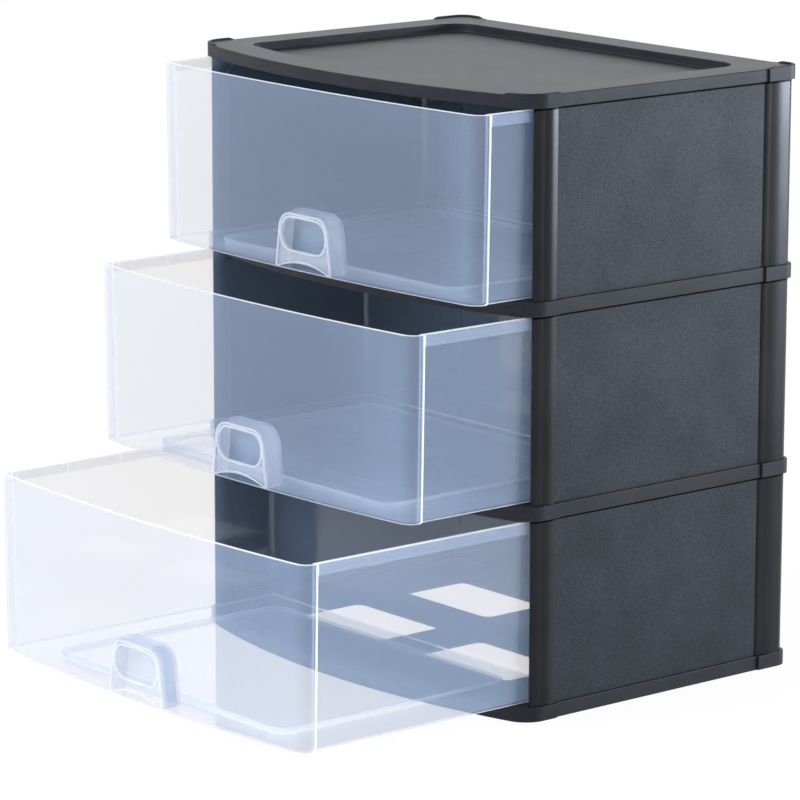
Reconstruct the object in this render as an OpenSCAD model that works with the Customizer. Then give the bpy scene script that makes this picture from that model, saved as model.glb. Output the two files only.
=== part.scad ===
// Drawer tower for crafts and small parts: three clear drawers in a stacked
// frame of a base, two shelves, side walls, back panels and a top cover.
// Millimetres, +Z up, drawers slide out towards -Y. The origin is on the
// surface that the tower stands on, in the middle of the base.

/* [Tower] */
// Width over the sides of the shelves
frame_w = 384; // [300:1:460]
// Depth of the shelves from the front corners to the rear edge
frame_d = 266; // [220:1:320]
// How far the middle of the front stands ahead of its corners
front_bow = 27; // [16:0.5:34]
// Radius of the bowed front edges
bow_r = 650; // [560:10:900]
// Radius of the front corners
front_r = 19; // [16:0.5:22]
// Radius of the rear corners
rear_r = 10; // [8:0.5:14]
// Height from one shelf to the next
tier_pitch = 150; // [120:1:200]

/* [Shelves and base] */
// Height of the edge band of a shelf
band_h = 11; // [9:0.5:16]
// Thickness of the edge band
skirt_t = 2; // [1.6:0.1:2.4]
// Thickness of the shelf plate
plate_t = 2.2; // [1.6:0.1:3]
// How far the corner blocks stand proud of the band at the sides and rear
block_proud = 1.6; // [0.8:0.1:2.4]
// Length of a corner block along the side
block_side = 31; // [24:1:40]
// Length of a corner block along the front and rear
block_front = 26; // [22:1:40]
// Width of a window in the shelf plate
window_w = 102; // [70:1:115]
// Depth of a window in the shelf plate
window_d = 62; // [40:1:75]
// Width of the cross between the windows
cross_w = 46; // [30:1:56]
// Corner radius of the windows
window_r = 6; // [3:0.5:12]
// Thickness of the stiffening ribs under a shelf
rib_t = 1.6; // [1.2:0.1:2.4]
// Height of these ribs
rib_h = 4; // [2:0.5:6]

/* [Top cover] */
// Height of the cover's edge band
cover_h = 9.5; // [8:0.5:14]
// Width of the rim around the tray in the cover
tray_inset = 30; // [22:1:40]
// Depth of the tray in the cover
tray_depth = 6.6; // [4:0.1:6.8]
// Radius of the tray's rear corners
tray_rear_r = 20; // [10:1:30]
// Radius of the tray's front corners
tray_front_r = 14; // [8:1:24]
// Height of the stacking rims on the cover's corners
ear_h = 1.5; // [1:0.1:2.5]
// Length of a stacking rim along the front and rear
ear_front = 22; // [18:1:26]
// Thickness of the stacking rims
ear_t = 2.6; // [2:0.1:4]

/* [Posts, side panels and backs] */
// Thickness of a side panel
wall_t = 1.8; // [1.4:0.1:2.2]
// How far the posts stand in from the band
post_inset = 0.9; // [0.5:0.1:1.2]
// How far a front post stands back from the front corners
post_back = 8; // [7:0.5:10]
// Depth of a front post along the side
front_post_d = 21.5; // [20:0.5:30]
// Depth of a rear post along the side
rear_post_d = 32; // [28:1:40]
// Width of a rear post across the back
rear_post_w = 24; // [18:1:34]
// Thickness of the rear post's back leg
return_t = 2.5; // [1.8:0.1:3]
// How far a post laps over the edge of a side panel
lap = 5; // [3:0.5:7]
// Thickness of a back panel
back_t = 2; // [1.6:0.1:2.6]
// Border round the raised field of a back panel
back_border = 14; // [8:1:30]
// How far that field stands out of the back panel
back_raise = 1; // [0.4:0.1:1.4]
// Height of the rib that holds a back panel from inside
back_rib_h = 2.2; // [1.4:0.1:2.2]
// Thickness of that rib
back_rib_t = 1.7; // [1.2:0.1:2.4]
// Height of the tongue that a wall pushes up into the band above
tongue_h = 5; // [3.5:0.5:5]
// Height of the shadow gap between a side panel and the band above it
seam_h = 1.5; // [1:0.1:2]
// Depth of that gap into the side panel
seam_d = 0.8; // [0.4:0.1:0.9]
// Length of a locating tab under a side panel
tab_l = 16; // [10:1:24]
// Length of a locating tab under a post
post_tab_l = 9; // [6:0.5:10]
// Depth of a locating tab
tab_h = 4.2; // [3:0.1:4.4]

/* [Drawer rails] */
// Height of a drawer rail
rail_h = 2.4; // [1.8:0.1:4]
// Width of a drawer rail
rail_w = 2.9; // [2.4:0.1:3]
// Length of the stop nib at the front of a rail
nib_l = 3; // [2:0.5:5]
// How far the stop nib stands out of the wall
nib_out = 0.9; // [0.7:0.05:0.9]

/* [Drawers] */
// Gap between the drawer's flange and the side wall
side_gap = 1.3; // [1.2:0.05:1.8]
// Gap between the drawer and the shelf plate under it
floor_gap = 1; // [0.6:0.1:2]
// Gap between the drawer's rim and the shelf over it
top_gap = 1; // [0.6:0.1:2]
// How far a closed drawer stands ahead of the frame's front corners
front_proud = 0.5; // [0:0.1:2]
// Gap between a closed drawer and the ribs behind it
rear_gap = 0.5; // [0.3:0.1:3]
// Bow of the drawer's front
drawer_bow = 9.4; // [4:0.2:14]
// Thickness of the drawer's front, sides and back
drawer_t = 1.8; // [1.4:0.1:2.4]
// Thickness of the drawer's floor
floor_t = 1.6; // [1.2:0.1:2.4]
// How much narrower each side is at the bottom than at the rim
draft = 2.2; // [0:0.1:4]
// Radius of the front's upright edges
drawer_front_r = 12; // [9:0.5:16]
// Radius of the rear upright edges
drawer_rear_r = 6; // [4:0.5:12]
// How far the wide front runs back behind its round corners
front_wrap = 1.2; // [0.6:0.2:4]
// How far the sides stand in from the front's edges
side_step = 2.9; // [2.4:0.1:4]
// Height of the flange along the rim
flange_h = 8.6; // [6:0.2:12]
// Thickness of the flange
flange_t = 1.2; // [0.9:0.1:1.4]
// Spacing of the gussets in the flange
gusset_pitch = 49.5; // [30:0.5:70]
// Gap between the front and the first gusset
gusset_gap = 2.6; // [1.6:0.1:6]
// Thickness of a gusset
gusset_t = 1.6; // [1:0.1:3]
// Height of the bead along the rim of the front
bead_h = 2.6; // [1.6:0.1:4]
// How far the bead stands in from the front
bead_t = 1.2; // [0.6:0.1:2]
// Width of the low border around the raised floor, at the sides
border_side = 44; // [25:1:60]
// Width of the low border at the front
border_front = 27; // [20:1:45]
// Width of the low border at the rear
border_rear = 30; // [20:1:50]
// How far the middle of the floor is raised
floor_rise = 4; // [2:0.5:8]
// Corner radius of the raised floor
floor_r = 12; // [6:1:24]
// Length of the stop lug on the flange
lug_l = 8; // [4:1:14]
// Distance from the stop lug to the rear end of the flange
lug_back = 5; // [2:0.5:20]

/* [Pulls] */
// Width of the pull at its foot
pull_w = 66; // [50:1:84]
// How much narrower the pull is at its shoulders
pull_taper = 8; // [0:0.5:16]
// Height of the pull over the drawer's floor
pull_h = 42; // [34:1:54]
// Radius of the pull's shoulders
pull_r = 13; // [8:0.5:16]
// Depth of the finger pocket behind the pull
pocket_d = 13.4; // [10:0.2:20]
// Thickness of the pull's plate
pull_t = 2; // [1.5:0.1:2.6]
// Thickness of the collar that lines the pocket
collar_t = 1.4; // [1:0.1:2]
// Width of the finger window
grip_w = 51; // [36:1:54]
// Height of the finger window
grip_h = 24; // [18:0.5:28]
// Corner radius of the finger window
grip_r = 11; // [6:0.5:11.5]
// Height of the finger window's lower edge over the drawer's floor
grip_z = 14; // [10:0.5:15]
// Width of the raised edge round the window and the pull
lip_w = 2.2; // [1.4:0.1:3]
// How far that edge stands out of the plate
lip_h = 0.8; // [0.4:0.1:1.2]
// Width of the arc cut out of the plate's foot
foot_w = 58; // [40:1:60]
// Height of the arc cut out of the plate's foot
foot_h = 5; // [3:0.5:8]

/* [Open positions] */
// How far the top drawer is open
open_top = 41.5; // [0:0.5:210]
// How far the middle drawer is open
open_middle = 101.5; // [0:0.5:210]
// How far the bottom drawer is open
open_bottom = 197.5; // [0:0.5:210]

/* [Hidden] */
$fn = 64;
// Clearance between pieces that plug together
fit = 0.2;
// Gap under a flange that slides on its rail
run_gap = 0.3;
// Gap between a stop lug and the side panel
lug_gap = 0.4;
// How far the nibs and lugs stand in from the edges they lie along
nib_in = 1;
// How far the ribs under a shelf end short of its walls
rib_gap = 8;
// How far a post's tab stands off the side panel's edge
tab_gap = 2;
// How far the outer tabs of a side panel stand in from its ends
tab_in = 24;
// How far the bead ends short of a drawer's sides
bead_end = 2;
// Overrun of a cut past the face that it opens, and of a part into the part
// that it grows from
cut = 1;

frame_hw = frame_w / 2;
front_y = -frame_d / 2;
rear_y = frame_d / 2;
bow_y = front_y - front_bow + bow_r;

// Walls: their outer face fits inside the band above
wall_x = frame_hw - skirt_t - fit;
wall_in = wall_x - wall_t;
wall_z = band_h;
wall_top = tier_pitch - fit;
front_post_y = front_y + post_back;
front_lap_y = front_post_y + front_post_d - lap;
rear_lap_y = rear_y - rear_post_d + lap;
panel_front = front_lap_y + fit;
panel_rear = rear_lap_y - fit;
back_y = rear_y - post_inset - return_t - fit - back_t;
groove_y = back_y - fit - back_rib_t;
front_tab_y = front_lap_y - tab_gap - post_tab_l;
rear_tab_y = rear_lap_y + tab_gap;
tab_run = panel_rear - panel_front - 2 * tab_in - tab_l;
panel_tab_y = [for (i = [0, 0.5, 1]) panel_front + tab_in + i * tab_run];

// Drawer, in a frame whose y = 0 is at the front's corners
flange_x = wall_in - side_gap;
body_x = flange_x - side_step;
drawer_z = band_h + floor_gap;
rim_z = tier_pitch - top_gap;
drawer_h = rim_z - drawer_z;
flange_z = rim_z - flange_h;
closed_y = front_y - front_proud;
drawer_l = groove_y - rear_gap - closed_y;
drawer_bow_r = (flange_x * flange_x + drawer_bow * drawer_bow) / (2 * drawer_bow);
drawer_bow_y = -drawer_bow + drawer_bow_r;
corner_y = drawer_bow_y - sqrt(pow(drawer_bow_r - drawer_front_r, 2) - pow(flange_x - drawer_front_r, 2));
wrap_y = corner_y + front_wrap;
rail_z = flange_z - run_gap - rail_h;
lug_out = side_gap - lug_gap;
// The walls stand upright near the rim and lean in below it
lean_over = 0.4;
field_x = body_x - draft - border_side;
flange_end = drawer_l - drawer_rear_r;
lug_y = flange_end - lug_back - lug_l;
gusset_y = concat([wrap_y + gusset_gap],
  [for (y = [wrap_y + gusset_pitch : gusset_pitch : flange_end - 2 * gusset_t]) y]);

// Pull, from the top of the drawer's floor up
pull_z = drawer_z + floor_t;
front_face = -drawer_bow;
shoulder_x = (pull_w - pull_taper) / 2 - pull_r;
shoulder_z = pull_h - pull_r;
foot_r = (foot_w * foot_w / 4 + foot_h * foot_h) / (2 * foot_h);

tiers = ["bottom", "middle", "top"];
sides = ["left", "right"];
opened = [open_bottom, open_middle, open_top];

// Points of an arc about (x, y) from angle a0 to a1, without skip points at
// either end
function arc(x, y, r, a0, a1, steps = 12, skip = 0) =
  [for (i = [skip : steps - skip]) let (a = a0 + (a1 - a0) * i / steps)
    [x + r * cos(a), y + r * sin(a)]];

// Where a drawer's front corners are when it is open by some distance
function drawer_y(open) = closed_y - open;

// ---- outlines -------------------------------------------------------------

// Bowed front, straight sides and rear, all four corners rounded. The front
// is an arc of radius r_arc about (0, y_arc); hw is half the width.
module bowed_outline(hw, r_arc, y_arc, y_rear, r_front, r_rear) {
  fx = hw - r_front;
  fy = y_arc - sqrt(pow(r_arc - r_front, 2) - fx * fx);
  a = atan2(fy - y_arc, fx);
  reach = 3 * r_front;
  difference() {
    intersection() {
      translate([0, y_arc]) circle(r_arc, $fn = 360);
      translate([-hw, y_arc - r_arc - cut])
        square([2 * hw, y_rear - y_arc + r_arc + cut]);
    }
    for (side = [-1, 1]) {
      scale([side, 1]) polygon([[fx, fy], [fx + reach * cos(a), fy + reach * sin(a)],
        [fx + reach, fy - reach], [fx + reach, fy]]);
      translate([side > 0 ? hw - r_rear : -hw - cut, y_rear - r_rear])
        square([r_rear + cut, r_rear + cut]);
    }
  }
  for (side = [-1, 1]) {
    translate([side * fx, fy]) circle(r_front);
    translate([side * (hw - r_rear), y_rear - r_rear]) circle(r_rear);
  }
}

// The shelves' outline, moved in by d on every side
module frame_outline(d) {
  bowed_outline(frame_hw - d, bow_r - d, bow_y, rear_y - d, front_r - d, rear_r - min(d, rear_r - 1));
}

// Rectangle with rounded corners, from its low corner
module rounded(x, y, r) {
  difference() {
    square([x, y]);
    for (i = [0, 1], j = [0, 1])
      translate([i * x - (i == 0 ? cut : r), j * y - (j == 0 ? cut : r)])
        square([r + cut, r + cut]);
  }
  for (i = [r, x - r], j = [r, y - r])
    translate([i, j]) circle(r);
}

// One rectangle per corner, side long on the sides and front long across
module corner_zones(side, front) {
  over = 2 * block_proud;
  for (i = [-1, 1], j = [-1, 1])
    translate([i > 0 ? frame_hw - front : -frame_hw - over, j > 0 ? rear_y - side : front_y - front_bow])
      square([front + over, side + (j > 0 ? over : front_bow)]);
}

// The outline that the corner blocks follow, moved in by d: flush with the
// bowed front, proud of the sides and the rear
module proud_outline(d) {
  grow = block_proud - d;
  bowed_outline(frame_hw + grow, bow_r - d, bow_y, rear_y + grow, front_r + grow, rear_r + grow);
}

// The shelves' outline with its four corner blocks
module banded_outline() {
  frame_outline(0);
  intersection() {
    proud_outline(0);
    corner_zones(block_side, block_front);
  }
}

// ---- shelves, base and cover ----------------------------------------------

// Centres of the four windows
window_x = cross_w / 2 + window_w / 2;
window_mid = -front_bow / 4;
window_y = cross_w / 2 + window_d / 2;
// How far the cross of ribs reaches from the middle
rib_reach_x = wall_in - rib_gap;
rib_reach_y = groove_y - rib_gap;

module windows() {
  for (i = [-1, 1], j = [-1, 1])
    translate([i * window_x - window_w / 2, window_mid + j * window_y - window_d / 2])
      rounded(window_w, window_d, window_r);
}

// A slot in a shelf plate for a wall's tab that starts at y
module tab_slot(y, l) {
  for (side = [-1, 1])
    translate([side * (wall_x - wall_t / 2) - wall_t / 2 - fit, y - fit, band_h - plate_t - cut])
      cube([wall_t + 2 * fit, l + 2 * fit, plate_t + 2 * cut]);
}

// A wall's tab that goes down into such a slot
module tab(y, l) {
  translate([wall_in, y, wall_z - tab_h]) cube([wall_t, l, tab_h + cut]);
}

// A shelf whose band's lower edge is at height z
module shelf(z) {
  plate_z = band_h - plate_t;
  rib_z = plate_z - rib_h;
  translate([0, 0, z]) difference() {
    union() {
      difference() {
        linear_extrude(band_h) banded_outline();
        translate([0, 0, -cut]) linear_extrude(plate_z + cut) frame_outline(skirt_t);
      }
      // a cross of ribs between the windows
      translate([-rib_t / 2, -rib_reach_y, rib_z]) cube([rib_t, 2 * rib_reach_y, rib_h + cut]);
      translate([-rib_reach_x, window_mid - rib_t / 2, rib_z]) cube([2 * rib_reach_x, rib_t, rib_h + cut]);
    }
    translate([0, 0, -cut]) linear_extrude(band_h + 2 * cut) windows();
    tab_slot(front_tab_y, post_tab_l);
    tab_slot(rear_tab_y, post_tab_l);
    for (y = panel_tab_y) tab_slot(y, tab_l);
  }
}

// Stacking rims: thin arcs round the corners
module ear_outline() {
  intersection() {
    difference() {
      proud_outline(0);
      proud_outline(ear_t);
    }
    corner_zones(block_side, ear_front);
  }
}

module base() {
  color("#3c3f45") shelf(0);
}

module lower_shelf() {
  color("#3c3f45") shelf(tier_pitch);
}

module upper_shelf() {
  color("#3c3f45") shelf(2 * tier_pitch);
}

module top_cover() {
  tray_z = cover_h - tray_depth;
  color("#46494f") translate([0, 0, 3 * tier_pitch]) {
    difference() {
      linear_extrude(cover_h) banded_outline();
      // the tray in the top
      translate([0, 0, tray_z]) linear_extrude(tray_depth + cut)
        tray_outline(0);
      // the hollow under the rim
      translate([0, 0, -cut]) linear_extrude(cover_h - plate_t + cut) difference() {
        frame_outline(skirt_t);
        tray_outline(skirt_t);
      }
      translate([0, 0, -cut]) linear_extrude(tray_z - plate_t + cut) tray_outline(0);
    }
    translate([0, 0, cover_h]) linear_extrude(ear_h) ear_outline();
  }
}

module tray_outline(grow) {
  d = tray_inset - grow;
  bowed_outline(frame_hw - d, bow_r - d, bow_y, rear_y - d, tray_front_r + grow, tray_rear_r + grow);
}

// ---- posts, side panels and back panels ------------------------------------

// Upright strip of the frame's outline between y0 and y1, from x0 outwards
module strip(x0, y0, y1) {
  intersection() {
    frame_outline(post_inset);
    translate([x0, y0]) square([frame_hw, y1 - y0]);
  }
}

// The part of a wall that reaches up into the band above
module tongue(y0, y1) {
  translate([wall_in, y0, wall_top - cut]) cube([wall_t, y1 - y0, tongue_h + cut]);
}

// Front post of the right side, in the tier whose shelf is at height z
module front_post(z) {
  color("#33363b") translate([0, 0, z]) {
    translate([0, 0, wall_z]) linear_extrude(wall_top - wall_z) {
      strip(wall_in, front_post_y, front_lap_y);
      strip(wall_x + fit, front_lap_y - cut, front_lap_y + lap);
    }
    tab(front_tab_y, post_tab_l);
    tongue(front_tab_y, front_lap_y);
  }
}

// Rear post of the right side: it laps over the side panel, turns the corner
// and holds the back panel between its back leg and a rib
module rear_post(z) {
  inner_y = rear_y - post_inset - return_t;
  color("#3a3d43") translate([0, 0, z]) {
    translate([0, 0, wall_z]) linear_extrude(wall_top - wall_z) {
      strip(wall_in, rear_lap_y, rear_y);
      strip(wall_x + fit, rear_lap_y - lap, rear_lap_y + cut);
      strip(frame_hw - rear_post_w, inner_y, rear_y);
      translate([wall_in - back_rib_h, groove_y]) square([back_rib_h + cut, back_rib_t]);
    }
    tab(rear_tab_y, post_tab_l);
    tongue(rear_lap_y, groove_y);
  }
}

// Right side panel, with its shadow gap, tongue, tabs, rail and stop nib
module side_panel(z) {
  color("#4a4d53") translate([wall_in, panel_front, z]) {
    l = panel_rear - panel_front;
    difference() {
      translate([0, 0, wall_z]) cube([wall_t, l, wall_top + tongue_h - wall_z]);
      translate([wall_t - seam_d, -cut, wall_top - seam_h]) cube([seam_d + cut, l + 2 * cut, seam_h]);
    }
    translate([-rail_w, 0, rail_z]) cube([rail_w + wall_t / 2, l, rail_h]);
    translate([-nib_out, nib_in, flange_z + nib_in])
      cube([nib_out + wall_t / 2, nib_l, flange_h - 2 * nib_in]);
    for (y = panel_tab_y) translate([-wall_in, -panel_front, 0]) tab(y, tab_l);
  }
}

// Back panel, with a shallow raised field on the outside
module back_panel(z) {
  w = 2 * (wall_in - fit);
  field_w = 2 * (frame_hw - rear_post_w - back_border);
  color("#35383e") translate([0, back_y, z + wall_z]) {
    translate([-w / 2, 0, 0]) cube([w, back_t, wall_top + tongue_h - wall_z]);
    translate([-field_w / 2, back_t - fit, back_border])
      cube([field_w, fit + back_raise, wall_top - wall_z - 2 * back_border]);
  }
}

// ---- drawers ---------------------------------------------------------------

// Plan of a drawer's wide front, moved in by d: the bow, two round corners
// and straight sides
module drawer_front(d) {
  r = drawer_front_r - d;
  bow = drawer_bow_r - d;
  x = flange_x - drawer_front_r;
  a = atan2(corner_y - drawer_bow_y, x);
  back = corner_y + drawer_front_r;
  polygon(concat(arc(0, drawer_bow_y, bow, -180 - a, a, steps = 36, skip = 1),
    arc(x, corner_y, r, a, 0), [[flange_x - d, back], [d - flange_x, back]],
    arc(-x, corner_y, r, 180, 180 - a)));
}

// Straight sides between y0 and y1 with rounded rear corners
module rear_rounded(hw, y0, y1, r) {
  translate([-hw, y0]) square([2 * hw, y1 - r - y0]);
  translate([r - hw, y0]) square([2 * (hw - r), y1 - y0]);
  for (side = [-1, 1]) translate([side * (hw - r), y1 - r]) circle(r);
}

// Sides that lean in towards the floor, hw apart at the rim, from y0 to y1
module leaning(hw, low_z, high_z, y0, y1) {
  lean = (draft + lean_over) / drawer_h;
  low = hw + lean_over - lean * (rim_z - low_z);
  high = hw + lean_over + lean * (high_z - rim_z);
  translate([0, y1, 0]) rotate([90, 0, 0]) linear_extrude(y1 - y0)
    polygon([[-low, low_z], [low, low_z], [high, high_z], [-high, high_z]]);
}

// The solid body of a drawer, moved in by d, from low_z up to high_z: the
// wide front and the narrower body behind it
module drawer_body(d, low_z, high_z) {
  intersection() {
    translate([0, 0, low_z]) linear_extrude(high_z - low_z) drawer_front(d);
    leaning(flange_x - d, low_z, high_z, -drawer_bow - cut, wrap_y - d);
  }
  intersection() {
    translate([0, 0, low_z]) linear_extrude(high_z - low_z)
      rear_rounded(body_x - d, 0, drawer_l - d, drawer_rear_r - d);
    leaning(body_x - d, low_z, high_z, -cut, drawer_l + cut);
  }
}

// Outline of the raised part of the floor, grown by d
module field_outline(d) {
  translate([-field_x - d, border_front - drawer_bow - d])
    rounded(2 * (field_x + d), drawer_l - border_rear - border_front + drawer_bow + 2 * d, floor_r + d);
}

// Outline of the pull as seen from the front, moved in by d, its foot at
// z = low. The legs run from the foot to the round shoulders as tangents.
module pull_outline(d, low = 0) {
  r = pull_r - d;
  foot = pull_w / 2 - d;
  dx = foot - shoulder_x;
  a = atan2(-shoulder_z, dx) + acos(r / sqrt(dx * dx + shoulder_z * shoulder_z));
  polygon(concat([[-foot, low], [foot, low]],
    arc(shoulder_x, shoulder_z, r, a, 90), arc(-shoulder_x, shoulder_z, r, 90, 180 - a)));
}

// Turns an outline seen from the front into a solid from y0 back to y1
module upright(y0, y1) {
  translate([0, y1, pull_z]) rotate([90, 0, 0]) linear_extrude(y1 - y0) children();
}

// Flange along the right rim: a web, a lip, gussets and the stop lug
module flange() {
  l = flange_end - wrap_y + cut;
  translate([flange_x - flange_t, wrap_y - cut, flange_z]) cube([flange_t, l, flange_h]);
  translate([body_x - drawer_t / 2, wrap_y - cut, rim_z - flange_t])
    cube([flange_x - body_x + drawer_t / 2, l, flange_t]);
  for (y = gusset_y)
    translate([body_x - drawer_t / 2, y, flange_z])
      cube([flange_x - body_x + (drawer_t - flange_t) / 2, gusset_t, flange_h]);
  translate([flange_x - flange_t / 2, lug_y, flange_z + nib_in])
    cube([lug_out + flange_t / 2, lug_l, flange_h - 2 * nib_in]);
}

module drawer(z, open) {
  niche_y = front_face + pocket_d;
  color("#c9d4e2", 0.45) translate([0, drawer_y(open), z]) {
    difference() {
      union() {
        difference() {
          drawer_body(0, drawer_z, rim_z);
          drawer_body(drawer_t, drawer_z + floor_t, rim_z + cut);
        }
        // step up to the raised floor
        translate([0, 0, drawer_z + floor_t / 2]) linear_extrude(floor_t / 2 + floor_rise)
          field_outline(floor_t);
      }
      // underside of the raised floor
      translate([0, 0, drawer_z - cut]) linear_extrude(cut + floor_rise) field_outline(0);
      // mouth of the finger pocket
      upright(front_face - cut, front_face + drawer_t + cut) pull_outline(0);
    }
    // finger pocket: its wall and its back
    upright(front_face + drawer_t / 2, niche_y + drawer_t) difference() {
      pull_outline(-drawer_t, -floor_t / 2);
      pull_outline(0);
    }
    upright(niche_y, niche_y + drawer_t) pull_outline(-drawer_t / 2, -floor_t / 2);
    // bead inside the front's rim
    translate([0, 0, rim_z - bead_h]) linear_extrude(bead_h) intersection() {
      difference() {
        drawer_front(drawer_t / 2);
        drawer_front(drawer_t + bead_t);
      }
      translate([bead_end - body_x, -drawer_bow - cut])
        square([2 * (body_x - bead_end), drawer_bow + cut + bead_end]);
    }
    for (side = [0, 1]) mirror([side, 0, 0]) flange();
  }
}

// ---- pulls -----------------------------------------------------------------

module grip_outline(d) {
  x = grip_w / 2 - grip_r;
  z0 = grip_z + grip_r;
  z1 = grip_z + grip_h - grip_r;
  r = grip_r - d;
  polygon(concat(arc(x, z0, r, -90, 0), arc(x, z1, r, 0, 90),
    arc(-x, z1, r, 90, 180), arc(-x, z0, r, 180, 270)));
}

// The arc that is cut out of the foot, below the pull
module foot_outline() {
  a = asin(foot_w / 2 / foot_r);
  polygon(concat([[-foot_w / 2, -cut], [foot_w / 2, -cut]],
    arc(0, foot_h - foot_r, foot_r, 90 - a, 90 + a)));
}

module pull(z, open) {
  collar_back = front_face + pocket_d - fit;
  color("#dfe6ee") translate([0, drawer_y(open), z]) {
    // plate in the mouth of the pocket, with raised edges
    upright(front_face, front_face + pull_t) difference() {
      pull_outline(fit, fit);
      grip_outline(0);
      foot_outline();
    }
    upright(front_face - lip_h, front_face + pull_t / 2) {
      difference() {
        pull_outline(fit, fit);
        pull_outline(fit + lip_w, -cut);
      }
      difference() {
        grip_outline(-lip_w);
        grip_outline(0);
      }
    }
    // collar that lines the pocket
    upright(front_face + pull_t / 2, collar_back) difference() {
      pull_outline(fit, fit);
      pull_outline(fit + collar_t, -cut);
    }
  }
}

// ---- the tower --------------------------------------------------------------

// Puts a right-hand piece on its own side
module on_side(k) {
  mirror([1 - k, 0, 0]) children();
}

base();
lower_shelf();
upper_shelf();
top_cover();
for (i = [0 : 2]) {
  z = i * tier_pitch;
  for (k = [0, 1]) {
    name = str(tiers[i], "_", sides[k]);
    on_side(k) front_post(z);
    on_side(k) rear_post(z);
    on_side(k) side_panel(z);
  }
  back_panel(z);
  drawer(z, opened[i]);
  pull(z, opened[i]);
}
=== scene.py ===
import math

import bmesh
import bpy
import numpy as np
from bpy.props import FloatProperty, FloatVectorProperty, PointerProperty
from bpy.types import Operator, Panel, PropertyGroup
from mathutils import Matrix


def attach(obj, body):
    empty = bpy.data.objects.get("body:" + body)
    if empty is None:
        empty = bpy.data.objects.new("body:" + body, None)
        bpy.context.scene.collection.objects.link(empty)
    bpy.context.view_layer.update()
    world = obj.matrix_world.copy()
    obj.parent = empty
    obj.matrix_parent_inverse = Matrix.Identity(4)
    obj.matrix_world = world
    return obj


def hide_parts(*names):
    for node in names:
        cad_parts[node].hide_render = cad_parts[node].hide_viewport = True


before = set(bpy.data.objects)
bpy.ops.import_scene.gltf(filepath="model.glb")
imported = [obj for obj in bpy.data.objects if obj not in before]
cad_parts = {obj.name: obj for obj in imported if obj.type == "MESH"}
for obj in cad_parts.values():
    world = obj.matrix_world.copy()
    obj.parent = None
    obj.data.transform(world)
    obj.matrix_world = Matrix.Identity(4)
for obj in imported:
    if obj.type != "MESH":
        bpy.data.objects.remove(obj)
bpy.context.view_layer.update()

bl_info = {
    "name": "Drawer tower dressing",
    "version": (1, 0, 0),
    "blender": (4, 5, 0),
    "location": "View3D > Sidebar > Drawer Tower",
    "description": "Moulded surfaces and finishes for a tower of clear drawers",
    "category": "Object",
}

MM = 0.001
CABINET = "cabinet"
TIERS = ("bottom", "middle", "top")
SIDES = (("left", -1), ("right", 1))

# ---- sizes of the solids, in millimetres ----------------------------------------

# The frame: a shelf's outline, its edge band and its proud corner blocks
PITCH = 150.0
HALF_WIDTH = 192.0
REAR = 133.0
BOW = 27.0
BOW_RADIUS = 650.0
BOW_CENTRE = -REAR - BOW + BOW_RADIUS
FRONT_ROUND = 19.0
REAR_ROUND = 10.0
BAND = 11.0
BAND_EDGE = 0.8
BAND_FOOT = 0.4
SKIRT = 2.0
PLATE = 2.2
PROUD = 1.6
BLOCK_SIDE = 31.0
BLOCK_BACK = 26.0
BLOCK_SLOPE = 0.2

# The posts, which stand a little inside the band's face and lap over the side panels
WALL_IN = 188.0
WALL_OUT = 189.8
WALL_TOP = 149.8
POST_IN = 0.9
LAP = 0.2
FRONT_POST = (-125.0, -108.5, -103.5)
REAR_POST = 106.0
REAR_POST_EDGE = 5.0
REAR_POST_RIB = (125.5, 127.2, 129.6)
REAR_POST_LEG = 168.0

# The cover with its tray and the stacking rims on its corners
COVER = 9.5
TRAY_IN = 30.0
TRAY_FLOOR = 2.9
TRAY_FILLET = 1.2
TRAY_LEAN = 0.4
TRAY_FRONT_ROUND = 14.0
TRAY_REAR_ROUND = 20.0
EAR = 1.5
EAR_T = 2.6
EAR_FRONT = 22.0

# The shelf's windows and ribs, and the groove under each band, whose shade is painted into the
# colour of the panels and posts
WINDOW = (102.0, 62.0)
WINDOW_ROUND = 6.0
CROSS = 46.0
WINDOW_MID = -BOW / 4
RIB = 1.6
RIB_H = 4.0
RIB_REACH = (180.0, 117.5)
SEAM_Z = 149.1
SEAM_H = 1.6

# A drawer, from the middle of its front at y = -DRAWER_BOW to its rear at y = DRAWER_L
FLANGE_X = 186.7
BODY_X = 183.8
DRAWER_L = 258.5
DRAWER_BOW = 9.4
DRAWER_BOW_RADIUS = (FLANGE_X**2 + DRAWER_BOW**2) / (2 * DRAWER_BOW)
DRAWER_BOW_CENTRE = DRAWER_BOW_RADIUS - DRAWER_BOW
DRAWER_ROUND = 12.0
DRAWER_REAR_ROUND = 6.0
DRAWER_T = 1.8
DRAWER_FLOOR_T = 1.6
DRAWER_Z = 12.0
RIM = 149.0
LEAN = 2.6
LEAN_H = 137.0
UPRIGHT = 0.4
BEAD = 1.2
WALL_LEVELS = (45, 90, 127.5, 140)
FIELD = (137.6, 17.6, 228.5)
FIELD_ROUND = 12.0
FIELD_H = 4.0
FLANGE_Z = 140.4
FLANGE_T = 1.2
STEP_Y = 12.1
GUSSET_PITCH = 49.5
GUSSET_T = 1.6
LUG = (239.5, 247.5)
LUG_PROUD = 0.9
CLOSED_Y = -133.5
OPENED = {"bottom": 197.5, "middle": 101.5, "top": 41.5}

# The pull in the mouth of the finger pocket
PULL_Z = DRAWER_Z + DRAWER_FLOOR_T
PULL_W = 66.0
PULL_ROUND = 13.0
SHOULDER_X = 16.0
SHOULDER_Z = 29.0
POCKET_D = 13.4
GRIP = (51.0, 24.0)
GRIP_ROUND = 11.0
GRIP_Z = 14.0
FOOT_W = 58.0
FOOT_H = 5.0
PULL_T = 2.0
LIP = 0.8
LIP_W = 1.9


# ---- surfaces ---------------------------------------------------------------------


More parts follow.
